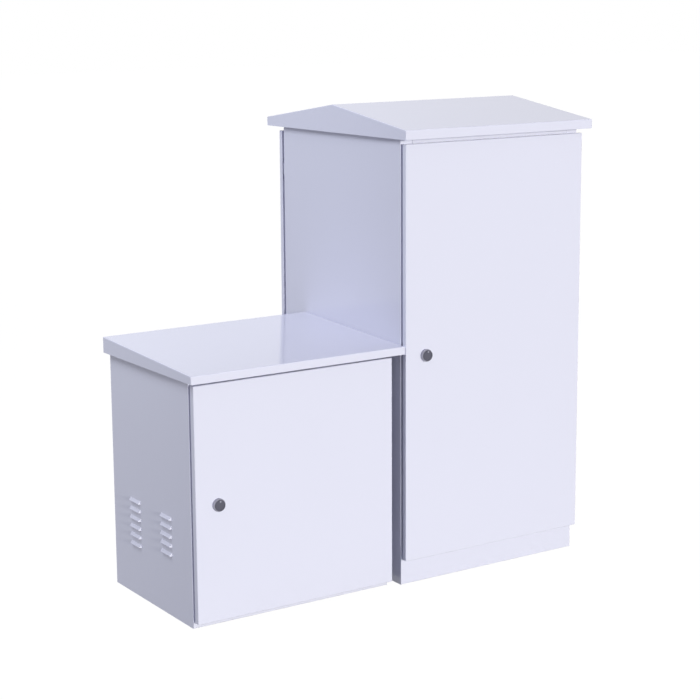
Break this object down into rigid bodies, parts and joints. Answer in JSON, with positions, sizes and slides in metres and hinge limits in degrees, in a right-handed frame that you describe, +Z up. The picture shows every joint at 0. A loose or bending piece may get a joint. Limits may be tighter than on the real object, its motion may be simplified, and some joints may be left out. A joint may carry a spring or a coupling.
{
  "type": "roadside utility cabinet",
  "caption": "Tall roadside cabinet with front and rear doors under a gable roof, joined to a lower battery cabinet with a sloped lid and side louvres.",
  "frame": {"origin": "on the floor, under the middle of the whole pair of cabinets", "axes": "+X to the viewer's right along the front, +Y from front to back, +Z up"},
  "size_m": [1.262, 0.69, 1.289],
  "materials": {
    "coat": "pale grey powder coat, semi-gloss",
    "zinc": "bright zinc plate",
    "lock": "satin chrome plate",
    "lock_cover": "dark grey lacquer",
    "gasket": "closed-cell foam",
    "copper": "bare metal",
    "plastic": "moulded grey"
  },
  "bodies": {
    "cabinet": {"battery_shelf": "coat", "body_bolts": "zinc", "cable_conduit": "plastic", "cable_glands": "plastic", "conduit_locknut": "plastic", "earth_bar": "copper", "front_hinge_brackets": "coat", "front_hinge_pins": "zinc", "gland_plate": "zinc", "lid_bearers": "zinc", "link_bolts": "zinc", "link_spacers": "zinc", "louvre_screen": "zinc", "low_back_panel": "coat", "low_base_pan": "coat", "low_hinge_brackets": "coat", "low_hinge_pins": "zinc", "low_left_side": "coat", "low_lid": "coat", "low_right_side": "coat", "low_top_plate": "coat", "rack_rail_left": "zinc", "rack_rail_right": "zinc", "rear_hinge_brackets": "coat", "rear_hinge_pins": "zinc", "roof_bearers": "zinc", "roof_cover": "coat", "tall_base_pan": "coat", "tall_left_side": "coat", "tall_right_side": "coat", "tall_top_plate": "coat"},
    "front_door": {"front_door": "coat", "front_door_gasket": "gasket", "front_door_stiffeners": "coat", "front_lock_housing": "lock", "front_lock_nut": "zinc", "front_rod_guides": "zinc"},
    "front_lock": {"front_lock_plug": "lock", "front_latch_cam": "zinc"},
    "front_dust_cover": {"front_lock_cover": "lock_cover"},
    "front_upper_rod": {"front_upper_rod": "zinc"},
    "front_lower_rod": {"front_lower_rod": "zinc"},
    "rear_door": {"rear_door": "coat", "rear_door_gasket": "gasket", "rear_door_stiffeners": "coat", "rear_lock_housing": "lock", "rear_lock_nut": "zinc", "rear_rod_guides": "zinc"},
    "rear_lock": {"rear_lock_plug": "lock", "rear_latch_cam": "zinc"},
    "rear_dust_cover": {"rear_lock_cover": "lock_cover"},
    "rear_upper_rod": {"rear_upper_rod": "zinc"},
    "rear_lower_rod": {"rear_lower_rod": "zinc"},
    "low_door": {"low_door": "coat", "low_door_gasket": "gasket", "low_lock_housing": "lock", "low_lock_nut": "zinc"},
    "low_lock": {"low_lock_plug": "lock", "low_latch_cam": "zinc"},
    "low_dust_cover": {"low_lock_cover": "lock_cover"}
  },
  "joints": [
    {"name": "front_door_hinge", "type": "hinge", "parent": "cabinet", "child": "front_door", "pos_m": [0.6065, -0.315, 0.636], "axis": [0, 0, 1], "range_deg": [0, 105]},
    {"name": "front_lock_turn", "type": "hinge", "parent": "front_door", "child": "front_lock", "pos_m": [0.079, -0.3225, 0.636], "axis": [0, -1, 0], "range_deg": [0, 90]},
    {"name": "front_dust_cover_swing", "type": "hinge", "parent": "front_door", "child": "front_dust_cover", "pos_m": [0.079, -0.3225, 0.6465], "axis": [0, -1, 0], "range_deg": [0, 120]},
    {"name": "front_upper_rod_slide", "type": "slide", "parent": "front_door", "child": "front_upper_rod", "axis": [0, 0, 1], "range_m": [0, 0.0198]},
    {"name": "front_lower_rod_slide", "type": "slide", "parent": "front_door", "child": "front_lower_rod", "axis": [0, 0, -1], "range_m": [0, 0.0198]},
    {"name": "rear_door_hinge", "type": "hinge", "parent": "cabinet", "child": "rear_door", "pos_m": [0.0235, 0.297, 0.636], "axis": [0, 0, 1], "range_deg": [0, 105]},
    {"name": "rear_lock_turn", "type": "hinge", "parent": "rear_door", "child": "rear_lock", "pos_m": [0.551, 0.3045, 0.636], "axis": [0, 1, 0], "range_deg": [0, 90]},
    {"name": "rear_dust_cover_swing", "type": "hinge", "parent": "rear_door", "child": "rear_dust_cover", "pos_m": [0.551, 0.3045, 0.6465], "axis": [0, 1, 0], "range_deg": [0, 120]},
    {"name": "rear_upper_rod_slide", "type": "slide", "parent": "rear_door", "child": "rear_upper_rod", "axis": [0, 0, 1], "range_m": [0, 0.0198]},
    {"name": "rear_lower_rod_slide", "type": "slide", "parent": "rear_door", "child": "rear_lower_rod", "axis": [0, 0, -1], "range_m": [0, 0.0198]},
    {"name": "low_door_hinge", "type": "hinge", "parent": "cabinet", "child": "low_door", "pos_m": [-0.0255, -0.294, 0.327], "axis": [0, 0, 1], "range_deg": [0, 100]},
    {"name": "low_lock_turn", "type": "hinge", "parent": "low_door", "child": "low_lock", "pos_m": [-0.553, -0.304, 0.3245], "axis": [0, -1, 0], "range_deg": [0, 90]},
    {"name": "low_dust_cover_swing", "type": "hinge", "parent": "low_door", "child": "low_dust_cover", "pos_m": [-0.553, -0.304, 0.335], "axis": [0, -1, 0], "range_deg": [0, 120]}
  ],
  "couplings": [
    {"joint": "front_lock_turn", "follows": "front_upper_rod_slide", "rad_per_m": 79.337},
    {"joint": "front_lower_rod_slide", "follows": "front_upper_rod_slide", "ratio": 1},
    {"joint": "rear_lock_turn", "follows": "rear_upper_rod_slide", "rad_per_m": 79.337},
    {"joint": "rear_lower_rod_slide", "follows": "rear_upper_rod_slide", "ratio": 1}
  ]
}
